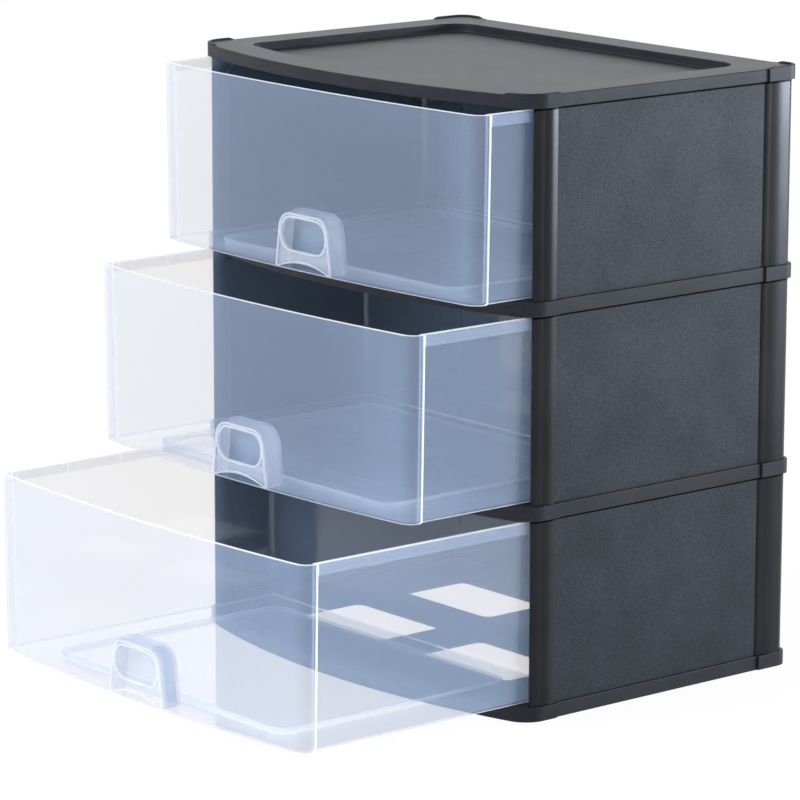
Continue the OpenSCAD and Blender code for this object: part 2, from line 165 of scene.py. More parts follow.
def arc(x, y, radius, start, end, count):
    """An arc: the centre (x, y) plus radius times (cos t, sin t), for count angles t from
    start to end."""
    t = np.linspace(start, end, count)
    return np.column_stack([x + radius * np.cos(t), y + radius * np.sin(t)])


def lengths(line):
    """The length along a line at each of its points."""
    return np.concatenate([[0], np.cumsum(np.hypot(*np.diff(line, axis=0).T))])


def both_sides(half):
    """A closed outline from its right half: the half, which runs from the middle of the
    front to the middle of the rear, then its mirror image backwards."""
    return np.vstack([half, half[-2:0:-1] * [-1, 1]])


def quarter(radius, count=5):
    """A rounded edge in steps: how far in, radius (1 - cos t), and how far on, radius sin t,
    for t from 0 to a right angle."""
    t = np.linspace(0, np.pi / 2, count)
    return np.column_stack([radius * (1 - np.cos(t)), radius * np.sin(t)])


def level(outline, z):
    """An outline at height z."""
    return np.column_stack([outline, np.full(len(outline), z)])


def point(outline, z):
    """An outline drawn together to its middle at height z, which closes a surface."""
    return level(np.tile(outline.mean(axis=0), (len(outline), 1)), z)


# The corners of a rectangle, anticlockwise: the signs of both coordinates, and the angle at
# which the corner's arc starts
CORNERS = ((1, 1, 0), (-1, 1, np.pi / 2), (-1, -1, np.pi), (1, -1, -np.pi / 2))


def skin(rings, ends=False):
    """Vertices and faces of the surface through rings of equally many points: column j of
    ring i joins column j of ring i + 1, and the last column joins the first. With ends, the
    first and the last ring are each closed by one flat face."""
    points = np.asarray(rings)
    rows, columns = points.shape[:2]
    index = np.arange(rows * columns).reshape(rows, columns)
    index = np.hstack([index, index[:, :1]])
    quads = np.stack([index[:-1, :-1], index[:-1, 1:], index[1:, 1:], index[1:, :-1]], -1)
    faces = quads.reshape(-1, 4).tolist()
    if ends:
        faces += [index[0, -2::-1].tolist(), index[-1, :-1].tolist()]
    return points.reshape(-1, 3), faces


def mesh_of(name, surfaces):
    """One mesh of closed surfaces given in millimetres, its doubles merged and its faces
    turned outwards."""
    starts = np.cumsum([0] + [len(points) for points, faces in surfaces])
    mesh = bpy.data.meshes.new(name)
    points = np.vstack([points for points, faces in surfaces]) * MM
    faces = [[i + start for i in face]
             for start, (_, part) in zip(starts, surfaces) for face in part]
    mesh.from_pydata(points, [], faces)
    merge(mesh, 0.001)
    return mesh


def merge(mesh, distance):
    """Merges the points of a mesh that lie within a distance in millimetres, and turns its
    faces outwards."""
    work = bmesh.new()
    work.from_mesh(mesh)
    bmesh.ops.remove_doubles(work, verts=work.verts, dist=distance * MM)
    bmesh.ops.recalc_face_normals(work, faces=work.faces)
    work.to_mesh(mesh)
    work.free()


def placed(name, data):
    """An object at the origin that holds a mesh, a lamp or a camera."""
    piece = bpy.data.objects.new(name, data)
    bpy.context.scene.collection.objects.link(piece)
    return piece


def carved(name, body, added=(), cut=(), near=0.004):
    """The body with surfaces added to it or cut out of it, as one closed mesh. Points nearer
    to each other than near, in millimetres, are merged."""
    work = placed(name, mesh_of(name, body))
    tools = []
    for surfaces, operation in ((added, "UNION"), (cut, "DIFFERENCE")):
        if surfaces:
            tool = placed(name + "_tool", mesh_of(name, surfaces))
            tools.append(tool)
            step = work.modifiers.new(operation, "BOOLEAN")
            step.object = tool
            step.operation = operation
            step.solver = "EXACT"
            step.use_self = True
    graph = bpy.context.evaluated_depsgraph_get()
    mesh = bpy.data.meshes.new_from_object(work.evaluated_get(graph))
    for used in [work] + tools:
        bpy.data.objects.remove(used)
    merge(mesh, near)
    return mesh


def points_of(mesh):
    """The three coordinates of a mesh's points, in millimetres."""
    flat = np.empty(3 * len(mesh.vertices))
    mesh.vertices.foreach_get("co", flat)
    return flat.reshape(-1, 3).T / MM


def between(values, low, high):
    """Which of the values lie between two limits."""
    return (values > low) & (values < high)


def paint_highlight(mesh, values):
    """Writes how strongly each point is painted with a highlight, 0 to 1: painted highlight
    standing in for the light that a wall gathers and lets out at its edges.
    """
    mesh.attributes.new("painted_highlight", "FLOAT", "POINT").data.foreach_set("value", values)


def finished(name, mesh, material, body, node, shift=(0, 0, 0), sharp=32):
    """Makes a piece from a copy of the mesh: moved, shaded smooth but for its sharp edges,
    riding on its body and standing for its node."""
    mesh = mesh.copy()
    mesh.transform(Matrix.Translation([v * MM for v in shift]))
    mesh.materials.clear()
    mesh.materials.append(material)
    mesh.shade_smooth()
    mesh.set_sharp_from_angle(angle=math.radians(sharp))
    piece = placed(name, mesh)
    weights = piece.modifiers.new("flat_faces_stay_flat", "WEIGHTED_NORMAL")
    weights.keep_sharp = True
    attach(piece, body)
    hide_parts(node)
    return piece


# ---- frame --------------------------------------------------------------------------


BOW_POINTS, FRONT_POINTS, REAR_POINTS = 40, 16, 12


def frame_half(width, bow, rear, front_round, rear_round):
    """Right half of a shelf's outline: the bow of radius bow about (0, BOW_CENTRE), the
    front corner's arc, the side with a stop at each end of a corner block, the rear corner's
    arc and the rear with one more stop. A stop past the straight part is left at its end."""
    x = width - front_round
    y = BOW_CENTRE - math.sqrt((bow - front_round) ** 2 - x**2)
    tangent = math.atan2(y - BOW_CENTRE, x)
    block, slope = REAR - BLOCK_SIDE, BLOCK_SLOPE
    stops = [-block - slope, -block + slope, 0, block - slope, block + slope]
    stops = np.clip(stops, y, rear - rear_round)
    back = HALF_WIDTH - BLOCK_BACK + np.array([slope, -slope])
    back = np.append(np.minimum(back, width - rear_round), 0)
    return np.vstack([
        arc(0, BOW_CENTRE, bow, -np.pi / 2, tangent, BOW_POINTS),
        arc(x, y, front_round, tangent, 0, FRONT_POINTS)[1:],
        np.column_stack([np.full(5, width), stops]),
        arc(width - rear_round, rear - rear_round, rear_round, 0, np.pi / 2, REAR_POINTS),
        np.column_stack([back, np.full(3, rear)]),
    ])


# Which points of that outline lie on a corner block, or on the front, where it is flush
ON_BLOCK = np.array([1] * (BOW_POINTS + FRONT_POINTS - 1) + [1, 0, 0, 0, 1]
                    + [1] * REAR_POINTS + [1, 0, 0])[:, None]


def frame_plan(inset, blocks=True):
    """Outline of a shelf moved in by inset. On the corner blocks it follows the same curve
    drawn PROUD wider at the sides and the rear."""
    plain = frame_half(HALF_WIDTH - inset, BOW_RADIUS - inset, REAR - inset, FRONT_ROUND - inset,
                       max(REAR_ROUND - inset, 1))
    out = PROUD - inset
    block = frame_half(HALF_WIDTH + out, BOW_RADIUS - inset, REAR + out, FRONT_ROUND + out,
                       REAR_ROUND + out)
    return both_sides(np.where(ON_BLOCK * blocks > 0, block, plain))


def tray_plan(grow):
    """Outline of the cover's tray, grown by grow."""
    inset = TRAY_IN - grow
    return both_sides(frame_half(HALF_WIDTH - inset, BOW_RADIUS - inset, REAR - inset,
                                 TRAY_FRONT_ROUND + grow, TRAY_REAR_ROUND + grow))


def band_rings(top):
    """The edge band of a shelf or the cover, from its top edge down to the inner face of its
    skirt, with a quarter round at the top and a smaller one at the foot."""
    upper = [level(frame_plan(BAND_EDGE - on), top - back) for back, on in quarter(BAND_EDGE)]
    lower = [level(frame_plan(back), BAND_FOOT - on) for back, on in quarter(BAND_FOOT, 3)]
    return upper + lower + [level(frame_plan(SKIRT, False), 0)]


def shelf_shell():
    """A shelf without its windows: a plate with the edge band hanging from it. The surface
    runs from the edge of the plate's top over the band to the edge of its underside."""
    return skin(band_rings(BAND) + [level(frame_plan(SKIRT, False), BAND - PLATE)], ends=True)


def window_block(i, j, low, high):
    """The rounded rectangle of window (i, j), from height low to high."""
    width, depth, r = WINDOW[0] / 2, WINDOW[1] / 2, WINDOW_ROUND
    x, y = i * (CROSS + WINDOW[0]) / 2, WINDOW_MID + j * (CROSS + WINDOW[1]) / 2
    outline = np.vstack([arc(x + a * (width - r), y + b * (depth - r), r, t, t + np.pi / 2, 7)
                         for a, b, t in CORNERS])
    return skin([level(outline, low), level(outline, high)], ends=True)


def upright_bar(x0, x1, y0, y1, z0, z1):
    """A plain bar between two corners."""
    outline = np.array([[x0, y0], [x1, y0], [x1, y1], [x0, y1]])
    return skin([level(outline, z0), level(outline, z1)], ends=True)


def shelf_mesh():
    """A shelf with its four windows and the cross of ribs between them."""
    low, high = BAND - PLATE - RIB_H, BAND - PLATE / 2
    reach_x, reach_y = RIB_REACH
    ribs = [upright_bar(-RIB / 2, RIB / 2, -reach_y, reach_y, low, high),
            upright_bar(-reach_x, reach_x, WINDOW_MID - RIB / 2, WINDOW_MID + RIB / 2, low, high)]
    holes = [window_block(i, j, -1, BAND + 1) for i in (-1, 1) for j in (-1, 1)]
    return carved("shelf", [shelf_shell()], ribs, holes)


def ear(i, j):
    """A stacking rim on corner (i, j) of the cover: a rounded rectangle of thickness EAR_T
    carried along the blocks' outline. Its height is EAR times the square root of the length
    from the nearer end over 4 mm, and EAR from there on. Its foot stands 0.5 mm deep in the
    cover."""
    sizes = np.array([HALF_WIDTH, BOW_RADIUS, REAR, FRONT_ROUND, REAR_ROUND])
    sizes += [PROUD, 0, PROUD, PROUD, PROUD]
    fine = np.linspace(0, 1, 1600)
    lines = []
    for line in (frame_half(*sizes), frame_half(*(sizes - EAR_T))):
        along = np.linspace(0, 1, len(line))
        lines.append(np.column_stack([np.interp(fine, along, line[:, k]) for k in (0, 1)]))
    outer, inner = lines
    kept = (outer[:, 0] > HALF_WIDTH - EAR_FRONT) & (outer[:, 1] * j > REAR - BLOCK_SIDE)
    outer, inner = outer[kept], inner[kept]
    length = lengths(outer)
    rise = np.clip(np.minimum(length, length[-1] - length) / 4, 0.05, 1) ** 0.5 * EAR
    rounding = np.linspace(0, 1, 6) * np.pi / 2
    section = [(0, 0.6)] + [(0.08 + 0.3 * (1 - np.cos(t)), 0.6 + 0.4 * np.sin(t)) for t in rounding]
    section += [(1 - s, h) for s, h in section[::-1]]
    sunk = np.full(len(outer), COVER - 0.5)
    rings = [np.column_stack([outer + (inner - outer) * s, COVER + rise * h]) for s, h in section]
    rings = [np.column_stack([outer, sunk])] + rings + [np.column_stack([inner, sunk])]
    return skin(np.stack(rings, 1) * [i, 1, 1], ends=True)


def cover_mesh():
    """The top cover: the tray's floor, its slightly leaning wall, the rim, the edge band, and
    underneath the hollow rim and the tray's underside, as one surface from the middle of the
    tray to the middle of its underside."""
    wall = [level(tray_plan(on - TRAY_FILLET), TRAY_FLOOR + back)
            for back, on in quarter(TRAY_FILLET)]
    edge = [level(tray_plan(TRAY_LEAN + back), COVER - BAND_EDGE + on)
            for back, on in quarter(BAND_EDGE)]
    rings = [point(tray_plan(-TRAY_FILLET), TRAY_FLOOR)] + wall + edge + band_rings(COVER)
    rings.append(level(frame_plan(SKIRT, False), COVER - PLATE))
    rings += [level(tray_plan(SKIRT), z) for z in (COVER - PLATE, 0)]
    rings += [level(tray_plan(0), z) for z in (0, TRAY_FLOOR - PLATE)]
    rings.append(point(tray_plan(0), TRAY_FLOOR - PLATE))
    return mesh_of("cover", [skin(rings)] + [ear(i, j) for i in (-1, 1) for j in (-1, 1)])


# ---- posts --------------------------------------------------------------------------


def crowned(x, y0, y1, rise, count=12):
    """A side that bulges: x plus rise times sin(pi s), with s from 0 to 1 along y."""
    s = np.linspace(0, 1, count)
    return np.column_stack([x + rise * np.sin(np.pi * s), y0 + (y1 - y0) * s])


def front_post_plan():
    """Plan of the right front post: the front corner's arc, a crowned side that ends in a
    soft edge, and the lap over the side panel."""
    centre_x = HALF_WIDTH - FRONT_ROUND
    centre_y = BOW_CENTRE - math.sqrt((BOW_RADIUS - FRONT_ROUND) ** 2 - centre_x**2)
    radius = FRONT_ROUND - POST_IN
    front, lap, end = FRONT_POST
    start = math.asin((front - centre_y) / radius)
    x = HALF_WIDTH - POST_IN
    side = crowned(x, centre_y, end - 1, 0.8)
    edge = np.column_stack([x - quarter(1)[:, 0], end - 1 + quarter(1)[:, 1]])
    back = [[WALL_OUT + LAP, end], [WALL_OUT + LAP, lap], [WALL_IN, lap], [WALL_IN, front]]
    return np.vstack([arc(centre_x, centre_y, radius, start, 0, 14)[:-1], side, edge[1:-1], back])


def rear_post_plan():
    """Plan of the right rear post: a long soft front edge, a crowned side, the rear corner's
    arc, the back leg and the rib that holds the back panel."""
    x, rear, r = HALF_WIDTH - POST_IN, REAR - POST_IN, REAR_ROUND - POST_IN
    t = np.linspace(0, np.pi / 2, 8)
    edge = np.column_stack([WALL_OUT + 0.3 + np.sin(t),
                            REAR_POST - REAR_POST_EDGE + REAR_POST_EDGE * (1 - np.cos(t))])
    side = crowned(x, REAR_POST, rear - r, 0.6)[1:]
    low, high, leg = REAR_POST_RIB
    tip = WALL_IN - 2.2
    inside = [[REAR_POST_LEG, rear], [REAR_POST_LEG, leg], [WALL_IN, leg], [WALL_IN, high],
              [tip, high], [tip, low], [WALL_IN, low], [WALL_IN, REAR_POST],
              [WALL_OUT + LAP, REAR_POST]]
    return np.vstack([edge, side, arc(x - r, rear - r, r, 0, np.pi / 2, 14)[1:], inside])


def post_mesh(plan, side):
    """A post: its plan from the shelf's top up to the band above."""
    outline = plan * [side, 1]
    return mesh_of("post", [skin([level(outline, BAND), level(outline, WALL_TOP)], ends=True)])


# ---- drawers --------------------------------------------------------------------------


def drawer_plan(inset, z, bead=0.0):
    """A drawer's outline at height z, moved in by inset and, on the front alone, by bead: the
    bow, the round corner, the step in to the narrower body, the side and the rear corner.
    Below the rim both widths lose LEAN per LEAN_H of height, after the first UPRIGHT."""
    lean = max(0.0, LEAN * (RIM - z) / LEAN_H - UPRIGHT)
    wide, narrow = FLANGE_X - lean - inset, BODY_X - lean - inset
    x = wide + inset - DRAWER_ROUND
    y = DRAWER_BOW_CENTRE - math.sqrt((DRAWER_BOW_RADIUS - DRAWER_ROUND) ** 2 - x**2)
    tangent = math.atan2(y - DRAWER_BOW_CENTRE, x)
    step, soft = STEP_Y - inset, 0.4
    end = -math.asin(max(0.0, y - step + soft) / (DRAWER_ROUND - inset))
    radius = DRAWER_ROUND - inset - bead * np.linspace(1, 0, 12)
    rear = DRAWER_REAR_ROUND
    half = np.vstack([
        arc(0, DRAWER_BOW_CENTRE, DRAWER_BOW_RADIUS - inset - bead, -np.pi / 2, tangent, 25),
        arc(x, y, radius, tangent, end, 12)[1:],
        arc(wide - soft, step - soft, soft, 0, np.pi / 2, 4),
        arc(narrow + soft, step + soft, soft, -np.pi / 2, -np.pi, 4),
        arc(narrow + inset - rear, DRAWER_L - rear, rear - inset, 0, np.pi / 2, 8),
        [[0, DRAWER_L - inset]],
    ])
    return both_sides(half)


def field_plan(grow):
    """Outline of the raised part of a drawer's floor, grown by grow, with as many points as
    the drawer's outline."""
    x, low, high, r = FIELD[0] + grow, FIELD[1] - grow, FIELD[2] + grow, FIELD_ROUND + grow
    half = np.vstack([
        np.column_stack([np.linspace(0, x - r, 25), np.full(25, low)]),
        arc(x - r, low + r, r, -np.pi / 2, 0, 12)[1:],
        np.column_stack([np.full(8, x), low + r + np.linspace(1, 12, 8)]),
        arc(x - r, high - r, r, 0, np.pi / 2, 8),
        [[0, high]],
    ])
    return both_sides(half)


def past_step(outline, limit):
    """An outline drawn in to the width limit, sheared by a tenth so that its points keep their
    order: between it and the outline lies a strip of floor that doesn't fold at the step."""
    inner = np.clip(outline[:, 0], -limit, limit)
    return np.column_stack([inner, outline[:, 1] - 0.1 * abs(outline[:, 0] - inner)])


def drawer_shell():
    """A drawer's body as one surface: from the middle of the raised floor's underside out
    to the foot, up the outside, over the rim, down the inside with the bead at its top, and
    over the floor to the middle again. Each edge is a quarter round."""
    foot, rim, fillet, edge = 2.2, 0.4, 1.6, 0.5
    floor = DRAWER_Z + DRAWER_FLOOR_T
    under, top = DRAWER_Z + FIELD_H, floor + FIELD_H
    rings = [point(field_plan(0), under), level(field_plan(-edge - 3), under)]
    rings.append(level(field_plan(-edge), under))
    rings += [level(field_plan(-back), under - edge + on) for back, on in quarter(edge)[::-1]]
    rings += [level(field_plan(back), DRAWER_Z + edge - on) for back, on in quarter(edge)]
    rings.append(level(past_step(drawer_plan(foot, DRAWER_Z), BODY_X - 6), DRAWER_Z))
    rings += [level(drawer_plan(foot - on, DRAWER_Z + back), DRAWER_Z + back)
              for back, on in quarter(foot, 7)]
    rings += [level(drawer_plan(0, z), z) for z in (DRAWER_Z + 4, *WALL_LEVELS, RIM - 2)]
    rings += [level(drawer_plan(back, RIM), RIM - rim + on) for back, on in quarter(rim)]
    rings += [level(drawer_plan(DRAWER_T - back, RIM, BEAD), RIM - rim + on)
              for back, on in quarter(rim)[::-1]]
    rings += [level(drawer_plan(DRAWER_T, RIM, bead), RIM - 2.6 + up)
              for bead, up in ((BEAD, 0.4), (BEAD - 0.3, 0.1), (0, -0.5))]
    rings += [level(drawer_plan(DRAWER_T, z), z) for z in WALL_LEVELS[::-1]]
    rings += [level(drawer_plan(DRAWER_T + back, floor + fillet - on), floor + fillet - on)
              for back, on in quarter(fillet, 6)]
    rings.append(level(past_step(drawer_plan(DRAWER_T + fillet, floor), BODY_X - 7), floor))
    rings += [level(field_plan(DRAWER_FLOOR_T + edge - on), floor + back)
              for back, on in quarter(edge)]
    rings += [level(field_plan(DRAWER_FLOOR_T - back), top - edge + on)
              for back, on in quarter(edge)]
    rings += [level(field_plan(-3), top), point(field_plan(0), top)]
    return skin(rings)


def soft_bar(low, high):
    """A bar along y between two corners, its section and its ends rounded by r = 0.3 mm: a rounded
    rectangle whose rings shrink by r (1 - cos t) at the ends. One more ring near the first end
    keeps the painted highlight there from reaching along the bar."""
    (x0, y0, z0), (x1, y1, z1) = low, high
    r = 0.3

    def ring(inset, y):
        outline = np.vstack([
            arc(x1 - r if a > 0 else x0 + r, z1 - r if b > 0 else z0 + r, max(r - inset, 0.02),
                t, t + np.pi / 2, 4) for a, b, t in CORNERS])
        return np.column_stack([outline[:, 0], np.full(len(outline), y), outline[:, 1]])

    rings = [ring(back, y0 + r - on) for back, on in quarter(r)[::-1]]
    rings.append(ring(0, min(y0 + 2.5, (y0 + y1) / 2)))
    rings += [ring(back, y1 - r + on) for back, on in quarter(r)]
    return skin(rings, ends=True)


def flange(side):
    """Flange along a drawer's rim: a web, a lip, the stop lug and the gussets. Where bars
    overlap, their faces lie a few hundredths of a millimetre apart, for clean cuts."""
    end = DRAWER_L - DRAWER_REAR_ROUND
    start = STEP_Y - 1
    root = BODY_X - DRAWER_T / 2
    gussets = [STEP_Y + 2.6] + list(np.arange(STEP_Y + GUSSET_PITCH, end - 3.2, GUSSET_PITCH))
    bars = [((FLANGE_X - FLANGE_T, start, FLANGE_Z), (FLANGE_X - 0.03, end, RIM - 0.03)),
            ((root, start, RIM - FLANGE_T), (FLANGE_X - 0.08, end, RIM - 0.06)),
            ((FLANGE_X - 0.6, LUG[0], FLANGE_Z + 1), (FLANGE_X + LUG_PROUD, LUG[1], RIM - 1))]
    bars += [((root, y, FLANGE_Z + 0.2), (FLANGE_X - 0.5, y + GUSSET_T, RIM - 0.3))
             for y in gussets]
    surfaces = [soft_bar(low, high) for low, high in bars]
    return [(points * [side, 1, 1], faces) for points, faces in surfaces]


def arch(grow, foot=0.0):
    """The pull's outline, grown by grow, from its right foot over both shoulders to its left
    foot: the legs meet the shoulders' circles as tangents. The second number is the height."""
    r = PULL_ROUND + grow
    foot_x = PULL_W / 2 + grow
    reach = foot_x - SHOULDER_X
    a = math.atan2(-SHOULDER_Z, reach) + math.acos(r / math.hypot(reach, SHOULDER_Z))
    right = np.vstack([[foot_x, foot], arc(SHOULDER_X, SHOULDER_Z, r, a, np.pi / 2, 16)])
    return np.vstack([right, right[::-1] * [-1, 1]])


def facing(outline, y):
    """An outline seen from the front, at depth y, standing on the drawer's floor."""
    return np.column_stack([outline[:, 0], np.full(len(outline), y), PULL_Z + outline[:, 1]])


def drawer_mesh():
    """A drawer with its flanges and with the finger pocket let into its front."""
    niche = POCKET_D - DRAWER_BOW
    outer_edge, inner_edge = 1.2, 0.6
    outside = [facing(arch(DRAWER_T, -0.8), DRAWER_T / 2 - DRAWER_BOW)]
    outside += [facing(arch(DRAWER_T - back, -0.8), niche + DRAWER_T - outer_edge + on)
                for back, on in quarter(outer_edge)]
    inside = [facing(arch(0, 0.1), y) for y in (-DRAWER_BOW - 3, niche - inner_edge)]
    inside += [facing(arch(-back, 0.1), niche - inner_edge + on)
               for back, on in quarter(inner_edge)]
    added = flange(1) + flange(-1) + [skin(outside, ends=True)]
    mesh = carved("drawer", [drawer_shell()], added, [skin(inside, ends=True)], near=0.02)
    x, y, z = points_of(mesh)
    x = abs(x)
    raised = (x < FIELD[0] + 1.9) & between(y, FIELD[1] - 3.6, FIELD[2] + 2.5)
    middle = (x < FIELD[0] - 2.1) & between(y, FIELD[1] + 2.1, FIELD[2] - 2.1)
    under, top = DRAWER_Z + FIELD_H, PULL_Z + FIELD_H
    upper = between(z, under - 0.6, under + 0.1) | between(z, top - 0.6, top + 0.1)
    edge = raised & ~middle & upper
    foot = ~raised & between(z, DRAWER_Z + 0.2, DRAWER_Z + 1.5)
    step = (x > BODY_X + 0.6) & between(y, STEP_Y - 1.5, STEP_Y + 0.5)
    pocket = (x < PULL_W / 2 + 3) & between(y, 2.6 - DRAWER_BOW, POCKET_D)
    pocket &= between(z, PULL_Z + 0.5, 70)
    # Painted highlights: the rim, the step's edge, the foot, the raised floor's edge and the pocket
    # are painted whiter, standing in for light that the clear walls catch there
    highlight_places = [z > RIM - 0.26, step, foot, edge, pocket]
    paint_highlight(mesh, np.select(highlight_places, [1.0, 1.0, 0.8, 0.3, 0.4], 0.0))
    return mesh


# ---- pulls ------------------------------------------------------------------------------


def dense(outline, step=0.4):
    """A closed outline with extra points along its straight parts, step apart, its own points
    kept: both coordinates read at each length along it."""
    closed = np.vstack([outline, outline[:1]])
    along = lengths(closed)
    at = np.union1d(along, np.arange(0, along[-1], step))[:-1]
    return np.column_stack([np.interp(at, along, closed[:, k]) for k in (0, 1)])


def seen_from(centre, outline, angles):
    """The points of an outline that lie in the given directions from a centre."""
    away = dense(outline) - centre
    reach = np.interp(angles, np.arctan2(away[:, 1], away[:, 0]), np.hypot(*away.T),
                      period=2 * np.pi)
    return centre + reach[:, None] * np.column_stack([np.cos(angles), np.sin(angles)])


def pull_mesh():
    """A pull: a plate between the arch with its arched foot and the finger window, with a
    raised lip along both, and the collar behind it. The plate is a closed band: each ring
    lies at a share of the way from the outer outline to the window."""
    radius = (FOOT_W**2 / 4 + FOOT_H**2) / (2 * FOOT_H)
    swing = math.asin(FOOT_W / 2 / radius)
    under = arc(0, FOOT_H - radius, radius, np.pi / 2 + swing, np.pi / 2 - swing, 24)
    outside, inside = arch(-0.2), arch(-1.6)
    outer = np.vstack([outside, under])
    x, low, high = GRIP[0] / 2 - GRIP_ROUND, GRIP_Z + GRIP_ROUND, GRIP_Z + GRIP[1] - GRIP_ROUND
    window = np.vstack([arc(a * x, high if b > 0 else low, GRIP_ROUND, t, t + np.pi / 2, 10)
                        for a, b, t in CORNERS])
    angles = np.linspace(-np.pi, np.pi, 240, endpoint=False)
    centre = np.array([0, GRIP_Z + GRIP[1] / 2])
    rim, hole = (seen_from(centre, line, angles) for line in (outer, window))
    width = np.hypot(*(hole - rim).T)[:, None]
    front, round_edge, soft = -DRAWER_BOW, 0.35, 0.1
    face, back = front - LIP, front + PULL_T

    def ring(inset, y, from_hole):
        share = 1 - inset / width if from_hole else inset / width
        return facing(rim + (hole - rim) * share, y)

    # From one of the two edges over its lip to the thinner middle: how far in, and at what depth
    over = [(0, back - round_edge), (0, face + round_edge), (soft, face + soft), (round_edge, face),
            (LIP_W - round_edge, face), (LIP_W - soft, face + soft), (LIP_W, face + round_edge),
            (LIP_W + soft, front)]
    behind = [(round_edge, back), (soft, back - soft), (0, back - round_edge)]
    rings = [ring(inset, y, False) for inset, y in over]
    rings += [ring(inset, y, True) for inset, y in over[::-1] + behind[1::-1]]
    rings += [ring(inset, y, False) for inset, y in behind]
    plate = skin(rings)
    end = POCKET_D + front
    strip = [facing(outside, front + 1), facing(outside, end - 0.5)]
    strip += [facing(outside * (1 - share) + inside * share, end - 0.2) for share in (0.2, 0.8)]
    strip += [facing(inside, end - 0.5), facing(inside, front + 1)]
    mesh = carved("pull", [plate], [skin(np.stack(strip, 1), ends=True)])
    depth = points_of(mesh)[1]
    # Painted highlights: the front of the lips and the collar behind the plate are painted whiter
    paint_highlight(mesh, np.select([depth < face + 0.5, depth > back + 0.5], [0.6, 0.35], 0.0))
    return mesh


# ---- colours and nodes ------------------------------------------------------------------


def linear(hex_colour):
    """An sRGB hex colour as linear red, green and blue."""
    values = [int(hex_colour[i : i + 2], 16) / 255 for i in (1, 3, 5)]
    return tuple(v / 12.92 if v <= 0.04045 else ((v + 0.055) / 1.055) ** 2.4 for v in values)


def add(tree, kind, settings=None, **links):
    """Adds a node of that kind, sets its attributes and sockets, and links its inputs.

    A link's value is an output socket or a plain value; its name is the input's name with
    underscores for spaces, or i0, i1 and so on for an input by number.
    """
    node = tree.nodes.new(kind)
    for name, value in (settings or {}).items():
        setattr(node, name, value)
    for name, value in links.items():
        by_number = name[0] == "i" and name[1:].isdigit()
        socket = node.inputs[int(name[1:]) if by_number else name.replace("_", " ")]
        if isinstance(value, bpy.types.NodeSocket):
            tree.links.new(value, socket)
        else:
            socket.default_value = value
    return node


def calculated(tree, operation, *values):
    """The result of a Math node."""
    inputs = {f"i{k}": value for k, value in enumerate(values)}
    return add(tree, "ShaderNodeMath", {"operation": operation}, **inputs).outputs[0]


def scaled(tree, value, low, high, span=(0, 1)):
    """The value moved from the given span to the range from low to high."""
    return add(tree, "ShaderNodeMapRange", {}, Value=value, i1=span[0], i2=span[1], i3=low,
               i4=high).outputs[0]


def mixed(tree, share, first, second):
    """Two shaders mixed, with that share of the second."""
    return add(tree, "ShaderNodeMixShader", {}, i0=share, i1=first, i2=second).outputs[0]


def new_material(name):
    """An empty node material, with its tree and its output."""
    material = bpy.data.materials.new(name)
    material.use_nodes = True
    tree = material.node_tree
    tree.nodes.clear()
    return material, tree, tree.nodes.new("ShaderNodeOutputMaterial")


# ---- materials ----------------------------------------------------------------------------


# The colour of what the dark plastic reflects, and the pale patches' size in millimetres
SHEEN = (0.84, 0.9, 1, 1)
PATCH = 45
GRAIN_DEPTH = 0.15
# Painted shade in the seam under each band: the colour and the shine there are multiplied by this
SEAM_SHADE = 0.12

# How much of the light that its haze takes a clear wall gives back by passing more of it, and
# the share it mirrors seen straight on and at a glancing angle
HAZE_LOSS = 0.9
MIRRORED = (0.055, 0.9)


def grained_plastic(name, colour, grain_mm, depth, rough, fleck, shine):
    """Injection-moulded polypropylene from a spark-eroded mould: a fine even grain that breaks the
    light into soft dots, with slightly lighter and darker patches. A real grain is about 0.3 mm
    wide, and it is drawn wider so that it shows. The seam under each band, a groove that light
    hardly reaches, gets painted shade: its colour and its shine are darkened there."""
    material, tree, output = new_material(name)
    place = add(tree, "ShaderNodeTexCoord").outputs["Object"]
    grain = add(tree, "ShaderNodeTexNoise", {}, Vector=place, Scale=1 / (grain_mm * MM), Detail=2.0,
                Roughness=0.6).outputs["Fac"]
    cloud = add(tree, "ShaderNodeTexNoise", {}, Vector=place, Scale=1 / (PATCH * MM),
                Detail=4.0).outputs["Fac"]
    dots = scaled(tree, grain, 1 - fleck, 1 + fleck, (0.35, 0.65))
    patches = scaled(tree, cloud, 0.88, 1.12, (0.3, 0.7))
    # Painted shade: the seam under each band, found by its height within a tier, is darkened in
    # colour and in shine
    height = add(tree, "ShaderNodeSeparateXYZ", {}, Vector=place).outputs["Z"]
    in_tier = calculated(tree, "MODULO", height, PITCH * MM)
    seam_shade_mask = calculated(tree, "COMPARE", in_tier, SEAM_Z * MM, SEAM_H / 2 * MM)
    mottled = calculated(tree, "MULTIPLY", dots, patches)
    value = calculated(tree, "MULTIPLY", mottled, scaled(tree, seam_shade_mask, 1.0, SEAM_SHADE))
    tint = add(tree, "ShaderNodeHueSaturation", {}, Value=value, Color=(*colour, 1)).outputs[0]
    bump = add(tree, "ShaderNodeBump", {}, Height=grain, Strength=depth, Distance=GRAIN_DEPTH * MM)
    shade = add(tree, "ShaderNodeBsdfPrincipled", {}, Base_Color=tint, Roughness=rough, IOR=1.49,
                Specular_IOR_Level=calculated(tree, "MULTIPLY", value, shine), Specular_Tint=SHEEN,
                Normal=bump.outputs[0])
    tree.links.new(shade.outputs[0], output.inputs[0])
    return material


